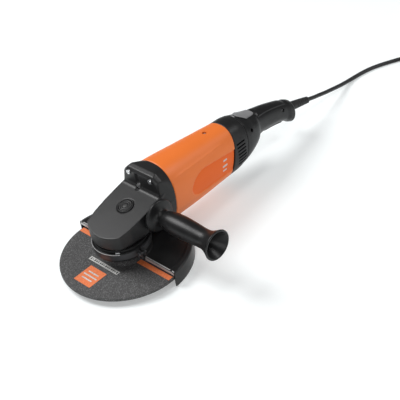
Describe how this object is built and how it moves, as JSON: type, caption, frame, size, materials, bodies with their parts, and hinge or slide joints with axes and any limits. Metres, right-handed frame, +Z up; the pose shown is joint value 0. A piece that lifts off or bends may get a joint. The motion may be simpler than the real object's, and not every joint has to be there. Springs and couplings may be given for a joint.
{
  "type": "angle grinder",
  "caption": "Two-handed angle grinder with a guarded abrasive wheel on a bevel-geared spindle, side handle, rear grip trigger and mains lead.",
  "frame": {"origin": "on the spindle's axis at the lower, free end of its thread", "axes": "+Z up along the spindle away from its free end, +X forward along the motor axis to the gear head, +Y to the operator's left, where the side handle is fitted"},
  "size_m": [0.9985, 0.441, 0.1516],
  "materials": {
    "black_metal": "satin black powder coat on cast metal",
    "steel": "machined steel",
    "black_plastic": "fine-grained black glass-filled plastic",
    "orange_plastic": "orange glass-filled plastic, satin",
    "copper": "lacquered copper wire and copper segments",
    "brass": "plain brass",
    "carbon": "matt carbon",
    "rubber": "matt moulded rubber",
    "abrasive": "coarse bonded abrasive, matt",
    "label": "printed paper label, plain colours",
    "grey_plastic": "grey satin plastic",
    "cable": "black rubber cable sheath"
  },
  "bodies": {
    "housing": {"gear_housing": "black_metal", "bearing_flange": "black_metal", "flange_screws": "steel", "gear_case_screws": "steel", "lock_bezel": "black_plastic", "index_lug": "steel", "spindle_bearing": "steel", "spindle_needle_bush": "steel", "pinion_bearing": "steel", "bearing_plate": "steel", "air_baffle": "black_plastic", "motor_housing": "orange_plastic", "field_core": "steel", "field_coils": "copper", "brush_holders": "brass", "carbon_brushes": "carbon", "brush_springs": "steel", "rear_bearing": "steel", "rear_bearing_sleeve": "rubber", "vent_ring": "black_plastic", "handle_shell_left": "black_plastic", "handle_shell_right": "black_plastic", "handle_screws": "steel", "switch_block": "black_plastic", "speed_module": "black_plastic", "cord_clamp": "black_plastic", "cord_strain_relief": "rubber", "side_handle_grip": "black_plastic", "side_handle_bolt": "steel", "lock_spring": "steel", "trigger_spring": "steel", "trigger_pin": "steel", "slide_stop": "grey_plastic", "cord_lead": "cable", "cord_coil": "cable", "coil_tie": "rubber", "cord_tail": "cable", "plug_body": "rubber", "plug_pins": "brass"},
    "spindle": {"spindle_shaft": "steel", "crown_gear": "steel", "inner_flange": "steel", "grinding_wheel": "abrasive", "wheel_label": "label", "clamping_nut": "steel"},
    "armature": {"armature_shaft": "steel", "armature_core": "steel", "armature_windings": "copper", "commutator": "copper", "cooling_fan": "black_plastic", "bevel_pinion": "steel"},
    "guard": {"guard_shell": "black_metal", "guard_clamp_band": "steel", "guard_clamp_screw": "steel"},
    "lock": {"lock_button": "black_plastic", "lock_pin": "steel"},
    "trigger": {"trigger": "black_plastic"},
    "lock_off": {"lock_off_slide": "grey_plastic"}
  },
  "joints": [
    {"name": "spindle_spin", "type": "hinge", "parent": "housing", "child": "spindle", "pos_m": [0, 0, 0.05], "axis": [0, 0, 1], "continuous": true},
    {"name": "armature_spin", "type": "hinge", "parent": "housing", "child": "armature", "pos_m": [-0.15, 0, 0.084], "axis": [1, 0, 0], "continuous": true},
    {"name": "guard_turn", "type": "hinge", "parent": "housing", "child": "guard", "pos_m": [0, 0, 0.045], "axis": [0, 0, 1], "range_deg": [-90, 90]},
    {"name": "lock_press", "type": "slide", "parent": "housing", "child": "lock", "axis": [0, 0, -1], "range_m": [0, 0.003], "stiffness_N_per_m": 800, "springref_m": -0.001, "deforming": ["lock_spring"]},
    {"name": "trigger_squeeze", "type": "hinge", "parent": "housing", "child": "trigger", "pos_m": [-0.372, 0, 0.058], "axis": [0, 1, 0], "range_deg": [0, 3.5], "stiffness_Nm_per_rad": 2, "springref_deg": -2.86, "deforming": ["trigger_spring"]},
    {"name": "lock_off_slide", "type": "slide", "parent": "housing", "child": "lock_off", "axis": [0.9636, 0, 0.2672], "range_m": [0, 0.003], "stiffness_N_per_m": 400, "springref_m": -0.001}
  ],
  "couplings": [
    {"joint": "armature_spin", "follows": "spindle_spin", "ratio": -3.6364}
  ]
}
